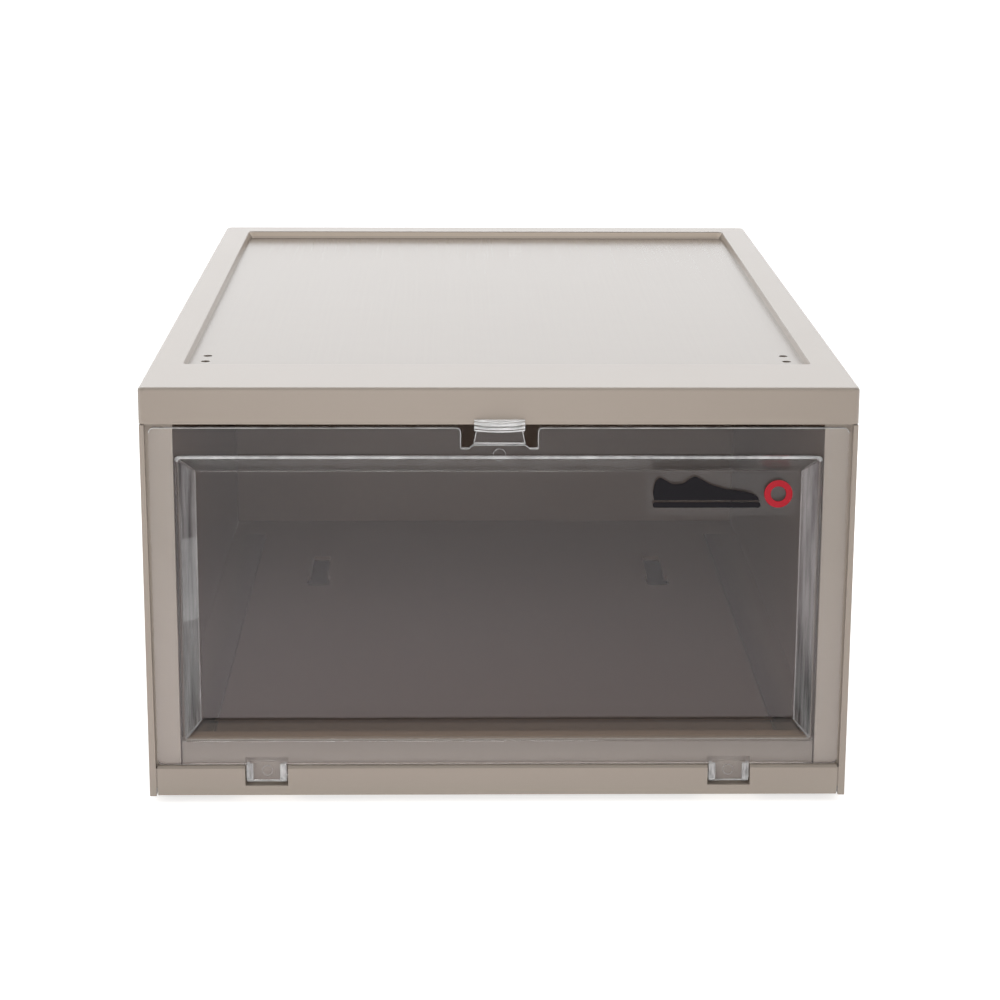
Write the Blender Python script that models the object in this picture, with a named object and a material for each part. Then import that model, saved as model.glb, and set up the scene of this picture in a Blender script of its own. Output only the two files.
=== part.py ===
"""Front-opening stacking shoe box.

Moulded base, side, back and top panels make the case. A clear door drops forward on two hinge
tabs that turn in the base's front rail, and a flexing latch tab at its top edge holds it shut.
Case coordinates: X across, Y back from the front face, Z up from the lower edge of the front lip.
"""

import math

import bmesh
import bpy
from mathutils import Matrix, Vector

MM = 0.001

# Overall size
WIDTH = 230.0 * MM
DEPTH = 346.0 * MM
SHELL_HEIGHT = 137.5 * MM
PLINTH_HEIGHT = 2.5 * MM
GAP = 0.4 * MM

# Top cover: skirt, rims and the recess that takes the plinth of the next box
SKIRT_HEIGHT = 11.9 * MM
SKIRT_WALL = 2.0 * MM
COVER_PLATE = 2.2 * MM
COVER_EDGE = 1.2 * MM
RECESS_DEPTH = 3.0 * MM
RECESS_DRAFT = 1.0 * MM
RECESS_FLARE = 0.5 * MM
RECESS_HALF_WIDTH = 104.2 * MM
RECESS_FRONT = 38.6 * MM
RECESS_BACK = 333.0 * MM
COVER_HOLE_RADIUS = 1.5 * MM
COVER_HOLE_X = 98.5 * MM
COVER_HOLES_Y = (57.5 * MM, 67.0 * MM)

# Side panels: drafted wall, front band behind the door, foot flange and top tongue
SIDE_OUTSIDE = 114.7 * MM
SIDE_INSIDE_FOOT = 112.5 * MM
SIDE_INSIDE_TOP = 113.2 * MM
SIDE_TOP = 125.3 * MM
SIDE_BACK = 345.7 * MM
TONGUE_OUTSIDE = 112.6 * MM
TONGUE_INSIDE = 110.9 * MM
TONGUE_TOP = 134.8 * MM
BAND_INSIDE = 104.4 * MM
BAND_FRONT = 2.7 * MM
BAND_BACK = 5.0 * MM
FLANGE_INSIDE = 98.3 * MM
FLANGE_BACK = 319.6 * MM
FLANGE_UNDER = 1.6 * MM

# Base panel: deck, shelf under the side flanges, plinth, front lip and rail
DECK_TOP = 3.2 * MM
DECK_UNDER = 1.2 * MM
DECK_HALF_WIDTH = 97.5 * MM
DECK_FRONT = 9.0 * MM
DECK_WIDE_FROM = 320.0 * MM
BASE_HALF_WIDTH = 112.1 * MM
SHELF_UNDER = -0.8 * MM
PLINTH_HALF_WIDTH = 102.0 * MM
PLINTH_WALL = 2.0 * MM
PLINTH_FRONT = 40.6 * MM
PLINTH_BACK = 331.0 * MM
RIB_WALL = 1.6 * MM
RIB_ROWS_Y = (112.0 * MM, 186.0 * MM, 298.0 * MM)
LIP_TOP = 10.3 * MM
LIP_WALL = 2.2 * MM
RAIL_HALF_WIDTH = 104.0 * MM
RAIL_FRONT = 3.4 * MM
RAIL_BACK = 10.0 * MM
RAIL_TOP = 19.0 * MM
SLOT_X = 71.3 * MM
SLOT_WIDE = 9.6 * MM
SLOT_NARROW = 7.3 * MM
SLOT_FRONT = 238.0 * MM
SLOT_STEP = 252.0 * MM
SLOT_BACK = 283.0 * MM

# Back panel
BACK_FRONT = 342.0 * MM
BACK_PLATE = 1.8 * MM
BACK_HALF_WIDTH = 111.7 * MM
BACK_BORDER = 6.0 * MM

# Door: flat flange round a window that is set back between sloping sides
DOOR_HALF_WIDTH = 111.9 * MM
DOOR_BOTTOM = 10.9 * MM
DOOR_TOP = 124.5 * MM
DOOR_SHEET = 2.0 * MM
DOOR_CORNER = 1.8 * MM
WINDOW_HALF_WIDTH = 102.5 * MM
WINDOW_BOTTOM = 19.9 * MM
WINDOW_TOP = 114.2 * MM
WINDOW_SET_BACK = 5.0 * MM

# Hinge: two clear tabs with short trunnions, in notches of the lip
HINGE_Y = 2.2 * MM
HINGE_Z = 6.5 * MM
TAB_INSIDE = 69.6 * MM
TAB_OUTSIDE = 82.8 * MM
TAB_TOP = 11.9 * MM
CHEEK = 2.2 * MM
KNUCKLE_RADIUS = 2.1 * MM
PIN_RADIUS = 1.25 * MM
PIN_LENGTH = 1.8 * MM
PIN_HOLE_RADIUS = 1.55 * MM
NOTCH_FLOOR = 3.6 * MM
NOTCH_BACK = 5.7 * MM
NOTCH_TOP = 12.5 * MM

# Latch: a tab between two relief slots, with a bowed finger grip in front of the skirt
LATCH_HALF_WIDTH = 8.3 * MM
LATCH_SLOT_OUTSIDE = 12.3 * MM
LATCH_SLOT_FLOOR = 117.6 * MM
LATCH_ROOT = 119.1 * MM
LATCH_SPLIT = 0.3 * MM
LATCH_SHEET = 1.8 * MM
GRIP_HALF_WIDTH = 8.1 * MM
GRIP_BOTTOM = 123.7 * MM
GRIP_TOP = 127.3 * MM
GRIP_PROUD = 3.6 * MM
GRIP_PROUD_ENDS = 1.2 * MM

# Printed label on the window
LABEL_LEFT = 47.5 * MM
LABEL_RIGHT = 96.0 * MM
LABEL_BOTTOM = 94.5 * MM
LABEL_TOP = 108.5 * MM
LABEL_THICKNESS = 0.12 * MM
LABEL_GAP = 0.3 * MM

CORNER_STEPS = 4
ROUND_STEPS = 24

# The row's origin is the middle of the underside, so the front face stands at -Y.
FRONT_Y = -(DEPTH - GRIP_PROUD) / 2


def clear_scene():
    for obj in list(bpy.data.objects):
        bpy.data.objects.remove(obj, do_unlink=True)


def plastic(name, colour, roughness, alpha=1.0):
    material = bpy.data.materials.new(name)
    material.use_nodes = True
    shader = material.node_tree.nodes["Principled BSDF"]
    shader.inputs["Base Color"].default_value = (*colour, 1.0)
    shader.inputs["Roughness"].default_value = roughness
    shader.inputs["Metallic"].default_value = 0.0
    shader.inputs["Alpha"].default_value = alpha
    return material


# ---- outlines and solids ----


def point_on(axis, along, u, v):
    """A point from two in-plane coordinates and its place along the named axis."""
    return {"X": Vector((along, u, v)), "Y": Vector((u, along, v)), "Z": Vector((u, v, along))}[axis]


def rectangle(u_low, u_high, v_low, v_high, radius=0.0):
    """Corner points of a rectangle, each corner an arc where a radius is given."""
    if radius == 0.0:
        return [(u_low, v_low), (u_high, v_low), (u_high, v_high), (u_low, v_high)]
    centres = (
        (u_high - radius, v_low + radius, -90),
        (u_high - radius, v_high - radius, 0),
        (u_low + radius, v_high - radius, 90),
        (u_low + radius, v_low + radius, 180),
    )
    outline = []
    for u, v, start in centres:
        outline += arc(u, v, radius, start, start + 90, CORNER_STEPS)
    return outline


def arc(u, v, radius, start, end, steps):
    angles = [math.radians(start + (end - start) * step / steps) for step in range(steps + 1)]
    return [(u + radius * math.cos(angle), v + radius * math.sin(angle)) for angle in angles]


def loft(axis, sections):
    """Closed solid through outlines of equal length, each given as (place along the axis, outline)."""
    mesh = bmesh.new()
    rings = [[mesh.verts.new(point_on(axis, along, u, v)) for u, v in outline] for along, outline in sections]
    mesh.faces.new(rings[0])
    mesh.faces.new(rings[-1])
    for low, high in zip(rings, rings[1:]):
        for here in range(len(low)):
            after = (here + 1) % len(low)
            mesh.faces.new((low[here], low[after], high[after], high[here]))
    bmesh.ops.recalc_face_normals(mesh, faces=mesh.faces)
    return mesh


def prism(axis, outline, low, high):
    return loft(axis, [(low, outline), (high, outline)])


def block(x_low, x_high, y_low, y_high, z_low, z_high):
    x_low, x_high = sorted((x_low, x_high))
    return prism("Z", rectangle(x_low, x_high, y_low, y_high), z_low, z_high)


def cylinder(axis, u, v, radius, low, high):
    return prism(axis, arc(u, v, radius, 0, 360 - 360 / ROUND_STEPS, ROUND_STEPS - 1), low, high)


# ---- objects ----


def make_empty(name, parent, location):
    empty = bpy.data.objects.new(name, None)
    bpy.context.scene.collection.objects.link(empty)
    empty.parent = parent
    empty.location = location
    return empty


def make_object(name, mesh, parent, pivot=Vector((0, 0, 0))):
    """An object whose mesh is given in case coordinates and whose origin is at the pivot."""
    mesh.transform(Matrix.Translation(-pivot))
    data = bpy.data.meshes.new(name)
    mesh.to_mesh(data)
    mesh.free()
    obj = bpy.data.objects.new(name, data)
    bpy.context.scene.collection.objects.link(obj)
    obj.parent = parent
    return obj


def make_part(name, mesh, material, parent, pivot=Vector((0, 0, 0))):
    obj = make_object(name, mesh, parent, pivot)
    obj.data.materials.append(material)
    return obj


def combine(part, operation, meshes, case):
    """Add or cut helper solids, each kept as a hidden wire object."""
    for number, mesh in enumerate(meshes):
        helper = make_object(f"{part.name}_{operation.lower()}_{number}", mesh, case)
        helper.hide_render = True
        helper.display_type = "WIRE"
        modifier = part.modifiers.new(helper.name, "BOOLEAN")
        modifier.operation = operation
        modifier.solver = "EXACT"
        modifier.object = helper


# ---- case ----


def cover_section(inset, z):
    half = WIDTH / 2 - inset
    return z, rectangle(-half, half, inset, DEPTH - inset, COVER_EDGE + RECESS_DRAFT)


def recess_section(inset, z):
    half = RECESS_HALF_WIDTH - inset
    return z, rectangle(-half, half, RECESS_FRONT + inset, RECESS_BACK - inset, 2 * RECESS_DRAFT)


def make_top_cover(material, case):
    skirt_bottom = SHELL_HEIGHT - SKIRT_HEIGHT
    rounding = [
        cover_section(COVER_EDGE * (1 - math.cos(angle)), SHELL_HEIGHT - COVER_EDGE * (1 - math.sin(angle)))
        for angle in (math.radians(90 * step / CORNER_STEPS) for step in range(CORNER_STEPS + 1))
    ]
    cover = make_part("top_cover", loft("Z", [cover_section(0, skirt_bottom)] + rounding), material, case)

    inside = WIDTH / 2 - SKIRT_WALL
    ceiling = SHELL_HEIGHT - COVER_PLATE
    plate_under = ceiling - RECESS_DEPTH
    island_half = RECESS_HALF_WIDTH + COVER_PLATE - RECESS_DRAFT
    front, back = SKIRT_WALL, DEPTH - SKIRT_WALL
    island_front = RECESS_FRONT - COVER_PLATE + RECESS_DRAFT
    island_back = RECESS_BACK + COVER_PLATE - RECESS_DRAFT
    below = skirt_bottom - COVER_PLATE
    hollows = [
        block(-inside, inside, front, back, below, plate_under),
        block(-inside, -island_half, front, back, below, ceiling),
        block(island_half, inside, front, back, below, ceiling),
        block(-inside, inside, front, island_front, below, ceiling),
        block(-inside, inside, island_back, back, below, ceiling),
    ]
    floor = SHELL_HEIGHT - RECESS_DEPTH
    recess = loft("Z", [
        recess_section(RECESS_DRAFT, floor),
        recess_section(0.2 * RECESS_DRAFT, SHELL_HEIGHT - RECESS_FLARE),
        recess_section(-0.1 * RECESS_FLARE, SHELL_HEIGHT - 0.3 * RECESS_FLARE),
        recess_section(-RECESS_FLARE, SHELL_HEIGHT),
        recess_section(-RECESS_FLARE, SHELL_HEIGHT + RECESS_DEPTH),
    ])
    holes = [
        cylinder("Z", side * COVER_HOLE_X, y, COVER_HOLE_RADIUS, plate_under - RECESS_DEPTH, SHELL_HEIGHT)
        for side in (-1, 1) for y in COVER_HOLES_Y
    ]
    combine(cover, "DIFFERENCE", hollows + [recess] + holes, case)


def make_side_panel(name, side, material, case):
    shelf = 1.8 * MM
    wall = [
        (SIDE_OUTSIDE, 0), (SIDE_OUTSIDE, SIDE_TOP), (TONGUE_OUTSIDE, SIDE_TOP),
        (TONGUE_OUTSIDE, TONGUE_TOP), (TONGUE_INSIDE, TONGUE_TOP), (TONGUE_INSIDE, SIDE_TOP - shelf),
        (SIDE_INSIDE_TOP, SIDE_TOP - 2 * shelf), (SIDE_INSIDE_FOOT, 0),
    ]
    wall = [(side * x, z) for x, z in wall]
    panel = make_part(name, prism("Y", wall, 0, SIDE_BACK), material, case)
    overlap = SIDE_OUTSIDE - 1.0 * MM
    combine(panel, "UNION", [
        block(side * BAND_INSIDE, side * overlap, BAND_FRONT, BAND_BACK, DECK_TOP, SIDE_TOP),
        block(side * FLANGE_INSIDE, side * overlap, RAIL_BACK + GAP, FLANGE_BACK, FLANGE_UNDER, DECK_TOP),
    ], case)
    reach = TONGUE_TOP + shelf
    # The tongue stops short of the skirt's front and back walls.
    tongue_ends = [
        block(side * BAND_INSIDE, side * WIDTH, -shelf, SKIRT_WALL + GAP, SIDE_TOP, reach),
        block(side * BAND_INSIDE, side * WIDTH, DEPTH - SKIRT_WALL - GAP, DEPTH, SIDE_TOP, reach),
        block(side * BAND_INSIDE, side * SIDE_INSIDE_TOP, -shelf, BAND_FRONT, SIDE_TOP - 3 * shelf, reach),
        block(side * BAND_INSIDE, side * SIDE_INSIDE_TOP, BACK_FRONT - GAP, DEPTH, SIDE_TOP - 3 * shelf, reach),
    ]
    combine(panel, "DIFFERENCE", tongue_ends, case)


def make_back_panel(material, case):
    foot = DECK_TOP + GAP
    plate_back = BACK_FRONT + BACK_PLATE
    half = TONGUE_INSIDE - GAP
    panel = make_part(
        "back_panel", block(-half, half, BACK_FRONT, plate_back, foot, TONGUE_TOP), material, case
    )
    frame = block(-BACK_HALF_WIDTH, BACK_HALF_WIDTH, BACK_FRONT, SIDE_BACK, foot, SIDE_TOP)
    combine(panel, "UNION", [frame], case)
    sunk = BACK_HALF_WIDTH - BACK_BORDER
    field = rectangle(-sunk, sunk, foot + BACK_BORDER, SIDE_TOP - BACK_BORDER, BACK_BORDER / 2)
    combine(panel, "DIFFERENCE", [prism("Y", field, plate_back, DEPTH)], case)


def rail_outline():
    """Front lip and rail as one channel, open underneath, in Y and Z."""
    chamfer = 0.8 * MM
    foot_band = 2.9 * MM
    wall = 2.0 * MM
    return [
        (chamfer, 0), (0, foot_band), (0, LIP_TOP - chamfer), (chamfer, LIP_TOP), (RAIL_FRONT, LIP_TOP),
        (RAIL_FRONT, RAIL_TOP - chamfer), (RAIL_FRONT + chamfer, RAIL_TOP), (RAIL_BACK - chamfer, RAIL_TOP),
        (RAIL_BACK, RAIL_TOP - chamfer), (RAIL_BACK, DECK_UNDER), (RAIL_BACK - wall, DECK_UNDER),
        (RAIL_BACK - wall, RAIL_TOP - wall), (RAIL_FRONT + wall, RAIL_TOP - wall),
        (RAIL_FRONT + wall, LIP_TOP - wall), (LIP_WALL, LIP_TOP - wall), (LIP_WALL, foot_band),
        (LIP_WALL + chamfer, 0),
    ]


def lip_end_outline():
    chamfer = 0.8 * MM
    foot_band = 2.9 * MM
    return [
        (chamfer, 0), (0, foot_band), (0, LIP_TOP - chamfer), (chamfer, LIP_TOP), (LIP_WALL, LIP_TOP),
        (LIP_WALL, 0),
    ]


def keyhole_outline(x):
    """A slot with a wide front part, rounded at its front end, and a narrower rear part."""
    wide = SLOT_WIDE / 2
    narrow = SLOT_NARROW / 2
    radius = SLOT_WIDE / 3
    front = arc(x - wide + radius, SLOT_FRONT + radius, radius, 180, 270, CORNER_STEPS)
    front += arc(x + wide - radius, SLOT_FRONT + radius, radius, 270, 360, CORNER_STEPS)
    rear = [(x + wide, SLOT_STEP), (x + narrow, SLOT_STEP), (x + narrow, SLOT_BACK),
            (x - narrow, SLOT_BACK), (x - narrow, SLOT_STEP), (x - wide, SLOT_STEP)]
    return front + rear


def make_base_panel(material, case):
    shelf_inside = DECK_HALF_WIDTH - 2.0 * MM
    right = [
        (DECK_HALF_WIDTH, DECK_TOP), (DECK_HALF_WIDTH, DECK_UNDER), (PLINTH_HALF_WIDTH, DECK_UNDER),
        (PLINTH_HALF_WIDTH, SHELF_UNDER), (shelf_inside, SHELF_UNDER), (shelf_inside, DECK_UNDER),
    ]
    deck = right + [(-x, z) for x, z in reversed(right)]
    base = make_part("base_panel", prism("Y", deck, DECK_FRONT, DECK_WIDE_FROM), material, case)

    rail = prism("X", rail_outline(), -RAIL_HALF_WIDTH, RAIL_HALF_WIDTH)
    embed = 0.3 * MM
    additions = [
        rail,
        block(-BASE_HALF_WIDTH, BASE_HALF_WIDTH, DECK_WIDE_FROM - embed, SIDE_BACK, DECK_UNDER, DECK_TOP),
        block(-BASE_HALF_WIDTH, BASE_HALF_WIDTH, SIDE_BACK - PLINTH_WALL, SIDE_BACK, 0, DECK_TOP - embed),
    ]
    for side in (-1, 1):
        additions.append(
            prism("X", lip_end_outline(), *sorted((side * (RAIL_HALF_WIDTH - embed), side * BASE_HALF_WIDTH)))
        )
        wall_inside = PLINTH_HALF_WIDTH - PLINTH_WALL
        additions.append(block(side * wall_inside, side * PLINTH_HALF_WIDTH, PLINTH_FRONT, PLINTH_BACK,
                               -PLINTH_HEIGHT, DECK_UNDER - embed))
        additions.append(block(side * (TAB_INSIDE - 3.6 * MM), side * (TAB_OUTSIDE + 3.6 * MM),
                               1.5 * MM, RAIL_BACK - 1.0 * MM, 0.6 * MM, LIP_TOP - embed))
        additions.append(block(side * (TAB_INSIDE - 3.6 * MM), side * (TAB_OUTSIDE + 3.6 * MM),
                               RAIL_FRONT + embed, RAIL_BACK - 1.0 * MM, LIP_TOP - 1.0 * MM, NOTCH_TOP + 2.0 * MM))
    for y in (PLINTH_FRONT, PLINTH_BACK - PLINTH_WALL):
        additions.append(block(-PLINTH_HALF_WIDTH + embed, PLINTH_HALF_WIDTH - embed, y, y + PLINTH_WALL,
                               -PLINTH_HEIGHT, SHELF_UNDER + embed))
        additions.append(block(-DECK_HALF_WIDTH + embed, DECK_HALF_WIDTH - embed, y, y + PLINTH_WALL,
                               SHELF_UNDER, DECK_TOP - embed))
    for y in RIB_ROWS_Y:
        additions.append(block(-PLINTH_HALF_WIDTH + PLINTH_WALL / 2, PLINTH_HALF_WIDTH - PLINTH_WALL / 2,
                               y, y + RIB_WALL, SHELF_UNDER - embed, SHELF_UNDER + embed))
        additions.append(block(-DECK_HALF_WIDTH + embed, DECK_HALF_WIDTH - embed, y, y + RIB_WALL,
                               SHELF_UNDER, DECK_UNDER + embed))
    additions.append(block(-RIB_WALL / 2, RIB_WALL / 2, RAIL_BACK - embed, PLINTH_BACK - embed,
                           SHELF_UNDER, DECK_UNDER + embed))
    combine(base, "UNION", additions, case)

    cuts = []
    for side in (-1, 1):
        cuts.append(block(side * (TAB_INSIDE - GAP), side * (TAB_OUTSIDE + GAP), -GAP, NOTCH_BACK,
                          NOTCH_FLOOR, NOTCH_TOP))
        ends = sorted((side * (TAB_INSIDE - PIN_LENGTH - GAP), side * (TAB_OUTSIDE + PIN_LENGTH + GAP)))
        cuts.append(cylinder("X", HINGE_Y, HINGE_Z, PIN_HOLE_RADIUS, *ends))
        cuts.append(prism("Z", keyhole_outline(side * SLOT_X), SHELF_UNDER - GAP, DECK_TOP + GAP))
    combine(base, "DIFFERENCE", cuts, case)


# ---- door ----


def window_section(inset, y, grow=0.0):
    half = WINDOW_HALF_WIDTH - inset + grow
    return y, rectangle(-half, half, WINDOW_BOTTOM + inset - grow, WINDOW_TOP - inset + grow)


def cheek_outline():
    """Side view of a hinge tab's cheek: a round knuckle that runs up into the back of the flange."""
    knuckle = arc(HINGE_Y, HINGE_Z, KNUCKLE_RADIUS, 180, 360, 2 * CORNER_STEPS)
    inset = 0.2 * MM
    return knuckle + [
        (HINGE_Y + KNUCKLE_RADIUS, HINGE_Z + 1.5 * MM), (DOOR_SHEET - inset, TAB_TOP),
        (inset, TAB_TOP), (inset, HINGE_Z + inset),
    ]


def latch_cut_outline():
    """The two relief slots and the window for the latch tab, open at the door's top edge."""
    corner = 1.2 * MM
    above = DOOR_TOP + corner
    right = [
        (LATCH_HALF_WIDTH, LATCH_ROOT - LATCH_SPLIT / 2), (LATCH_HALF_WIDTH, LATCH_SLOT_FLOOR + corner),
        (LATCH_HALF_WIDTH + corner, LATCH_SLOT_FLOOR), (LATCH_SLOT_OUTSIDE - corner, LATCH_SLOT_FLOOR),
        (LATCH_SLOT_OUTSIDE, LATCH_SLOT_FLOOR + corner), (LATCH_SLOT_OUTSIDE, above),
    ]
    return right + [(-x, z) for x, z in reversed(right)]


def make_door(material, hinge, case):
    pivot = Vector(hinge.location)
    flange = rectangle(-DOOR_HALF_WIDTH, DOOR_HALF_WIDTH, DOOR_BOTTOM, DOOR_TOP, DOOR_CORNER)
    door = make_part("door", prism("Y", flange, 0, DOOR_SHEET), material, hinge, pivot)

    mitre = DOOR_SHEET * math.tan(math.radians(22.5))
    start = DOOR_SHEET / 2
    pan = loft("Y", [
        window_section(start - DOOR_SHEET, start, mitre),
        window_section(WINDOW_SET_BACK, WINDOW_SET_BACK + DOOR_SHEET, mitre),
    ])
    additions = [pan]
    for side in (-1, 1):
        for low in (TAB_INSIDE, TAB_OUTSIDE - CHEEK):
            additions.append(prism("X", cheek_outline(), *sorted((side * low, side * (low + CHEEK)))))
        additions.append(block(side * (TAB_INSIDE + CHEEK / 2), side * (TAB_OUTSIDE - CHEEK / 2),
                               0.5 * MM, DOOR_SHEET + 0.2 * MM, HINGE_Z - 1.7 * MM, DOOR_BOTTOM + 1.0 * MM))
        for low in (TAB_INSIDE - PIN_LENGTH, TAB_OUTSIDE - CHEEK / 2):
            ends = sorted((side * low, side * (low + PIN_LENGTH + CHEEK / 2)))
            additions.append(cylinder("X", HINGE_Y, HINGE_Z, PIN_RADIUS, *ends))
    combine(door, "UNION", additions, case)

    recess = loft("Y", [window_section(-1.0 * MM, -1.0 * MM), window_section(WINDOW_SET_BACK, WINDOW_SET_BACK)])
    latch_cut = prism("Y", latch_cut_outline(), -1.0 * MM, DOOR_SHEET + 1.0 * MM)
    combine(door, "DIFFERENCE", [recess, latch_cut], case)


def grip_outline(back):
    """Finger grip from above: straight at the back, bowed at the front."""
    bow = GRIP_PROUD - GRIP_PROUD_ENDS
    radius = (GRIP_HALF_WIDTH ** 2 + bow ** 2) / (2 * bow)
    half_angle = math.degrees(math.asin(GRIP_HALF_WIDTH / radius))
    front = arc(0, radius - GRIP_PROUD, radius, 270 - half_angle, 270 + half_angle, 2 * CORNER_STEPS)
    return front + [(GRIP_HALF_WIDTH, back), (-GRIP_HALF_WIDTH, back)]


def make_latch_tab(material, flexure, case):
    pivot = Vector(flexure.location) + Vector(flexure.parent.location)
    inset = (DOOR_SHEET - LATCH_SHEET) / 2
    under_skirt = SHELL_HEIGHT - SKIRT_HEIGHT - GAP
    neck = block(-LATCH_HALF_WIDTH, LATCH_HALF_WIDTH, inset, inset + LATCH_SHEET,
                 LATCH_ROOT + LATCH_SPLIT / 2, GRIP_BOTTOM + 0.5 * MM)
    tab = make_part("latch_tab", neck, material, flexure, pivot)
    combine(tab, "UNION", [
        prism("Z", grip_outline(DOOR_SHEET - 2 * inset), GRIP_BOTTOM, under_skirt),
        prism("Z", grip_outline(-GAP), under_skirt - 0.5 * MM, GRIP_TOP),
    ], case)


def make_label(material, hinge):
    pivot = Vector(hinge.location)
    face = WINDOW_SET_BACK - LABEL_GAP
    film = rectangle(LABEL_LEFT, LABEL_RIGHT, LABEL_BOTTOM, LABEL_TOP, 1.5 * MM)
    make_part("door_label", prism("Y", film, face - LABEL_THICKNESS, face), material, hinge, pivot)


def main():
    clear_scene()
    taupe = plastic("taupe_plastic", (0.46, 0.40, 0.34), 0.35)
    clear = plastic("clear_plastic", (0.85, 0.87, 0.88), 0.05, alpha=0.3)
    film = plastic("label_film", (0.25, 0.25, 0.26), 0.3, alpha=0.5)

    case = make_empty("case_frame", None, (0, FRONT_Y, PLINTH_HEIGHT))
    make_base_panel(taupe, case)
    make_side_panel("left_side_panel", -1, taupe, case)
    make_side_panel("right_side_panel", 1, taupe, case)
    make_back_panel(taupe, case)
    make_top_cover(taupe, case)

    hinge = make_empty("door_hinge_axis", case, (0, HINGE_Y, HINGE_Z))
    make_door(clear, hinge, case)
    make_label(film, hinge)
    flexure = make_empty("latch_flexure_axis", hinge,
                         (0, DOOR_SHEET / 2 - HINGE_Y, LATCH_ROOT - HINGE_Z))
    make_latch_tab(clear, flexure, case)


main()
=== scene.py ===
"""Front-opening stacking shoe box: surfaces, small moulded details, light and camera."""

import math

import bmesh
import bpy
from mathutils import Matrix, Vector


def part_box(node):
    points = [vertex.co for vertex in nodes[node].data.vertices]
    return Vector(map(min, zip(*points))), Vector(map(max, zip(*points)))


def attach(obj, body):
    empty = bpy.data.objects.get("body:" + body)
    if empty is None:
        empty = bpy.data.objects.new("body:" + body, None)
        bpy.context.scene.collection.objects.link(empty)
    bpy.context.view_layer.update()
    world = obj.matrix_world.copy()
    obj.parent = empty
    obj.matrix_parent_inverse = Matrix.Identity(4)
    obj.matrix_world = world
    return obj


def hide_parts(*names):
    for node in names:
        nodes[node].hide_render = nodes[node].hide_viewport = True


MM = 0.001

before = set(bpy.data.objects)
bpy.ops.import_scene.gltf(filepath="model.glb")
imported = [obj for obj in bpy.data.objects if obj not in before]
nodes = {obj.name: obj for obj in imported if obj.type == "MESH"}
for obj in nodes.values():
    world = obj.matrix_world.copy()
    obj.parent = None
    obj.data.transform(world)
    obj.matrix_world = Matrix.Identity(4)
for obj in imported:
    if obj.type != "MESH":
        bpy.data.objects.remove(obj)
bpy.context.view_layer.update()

# Places that the frame gives: the case's front plane, the lip's lower edge, the cover's top and its back
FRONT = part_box("base_panel")[0].y
LIP_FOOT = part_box("left_side_panel")[0].z
COVER_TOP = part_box("top_cover")[1].z
CASE_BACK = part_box("top_cover")[1].y


def place(x, y, z):
    """A point from millimetres across, back from the front plane and up from the lip's lower edge."""
    return Vector((x * MM, FRONT + y * MM, LIP_FOOT + z * MM))


# ---- node trees ----


def new_material(name):
    material = bpy.data.materials.new(name)
    material.use_nodes = True
    tree = material.node_tree
    tree.nodes.clear()
    output = tree.nodes.new("ShaderNodeOutputMaterial")
    shader = tree.nodes.new("ShaderNodeBsdfPrincipled")
    tree.links.new(shader.outputs["BSDF"], output.inputs["Surface"])
    return material, tree, shader, output


def object_space(tree, scale=(1.0, 1.0, 1.0)):
    """Object coordinates in metres, stretched by a scale."""
    coordinates = tree.nodes.new("ShaderNodeTexCoord")
    mapping = tree.nodes.new("ShaderNodeMapping")
    mapping.inputs["Scale"].default_value = scale
    tree.links.new(coordinates.outputs["Object"], mapping.inputs["Vector"])
    return mapping.outputs["Vector"]


def noise(tree, space, scale, detail=2.0, roughness=0.5):
    texture = tree.nodes.new("ShaderNodeTexNoise")
    texture.inputs["Scale"].default_value = scale
    texture.inputs["Detail"].default_value = detail
    texture.inputs["Roughness"].default_value = roughness
    tree.links.new(space, texture.inputs["Vector"])
    return texture.outputs["Fac"]


def remap(tree, value, low_in, high_in, low_out, high_out, smooth=False):
    node = tree.nodes.new("ShaderNodeMapRange")
    node.interpolation_type = "SMOOTHSTEP" if smooth else "LINEAR"
    tree.links.new(value, node.inputs["Value"])
    node.inputs["From Min"].default_value = low_in
    node.inputs["From Max"].default_value = high_in
    node.inputs["To Min"].default_value = low_out
    node.inputs["To Max"].default_value = high_out
    return node.outputs["Result"]


def maths(tree, operation, first, second=None):
    node = tree.nodes.new("ShaderNodeMath")
    node.operation = operation
    for socket, value in zip(node.inputs, (first, second)):
        if isinstance(value, (int, float)):
            socket.default_value = value
        elif value is not None:
            tree.links.new(value, socket)
    return node.outputs["Value"]


def product(tree, *values):
    """All the values multiplied together."""
    result = values[0]
    for value in values[1:]:
        result = maths(tree, "MULTIPLY", result, value)
    return result


def between(tree, value, low, high):
    """1 where the value lies between two bounds, else 0."""
    return product(tree, maths(tree, "GREATER_THAN", value, low), maths(tree, "LESS_THAN", value, high))


def within(tree, value, reach):
    """1 where the value is nearer to zero than the reach, else 0."""
    return maths(tree, "LESS_THAN", maths(tree, "ABSOLUTE", value), reach)


def chosen(tree, share, first, second):
    """The first value where the share is 0, the second where it is 1."""
    node = tree.nodes.new("ShaderNodeMix")
    tree.links.new(share, node.inputs["Factor"])
    tree.links.new(first, node.inputs["A"])
    tree.links.new(second, node.inputs["B"])
    return node.outputs["Result"]


def colour_between(tree, share, first, second):
    """The first colour where the share is 0, the second where it is 1."""
    node = tree.nodes.new("ShaderNodeMix")
    node.data_type = "RGBA"
    node.inputs["A"].default_value = (*first, 1.0)
    node.inputs["B"].default_value = (*second, 1.0)
    tree.links.new(share, node.inputs["Factor"])
    return node.outputs["Result"]


def dimmed(tree, colour, factor):
    """The colour times a factor."""
    node = tree.nodes.new("ShaderNodeVectorMath")
    node.operation = "SCALE"
    tree.links.new(colour, node.inputs[0])
    tree.links.new(factor, node.inputs["Scale"])
    return node.outputs["Vector"]


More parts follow.
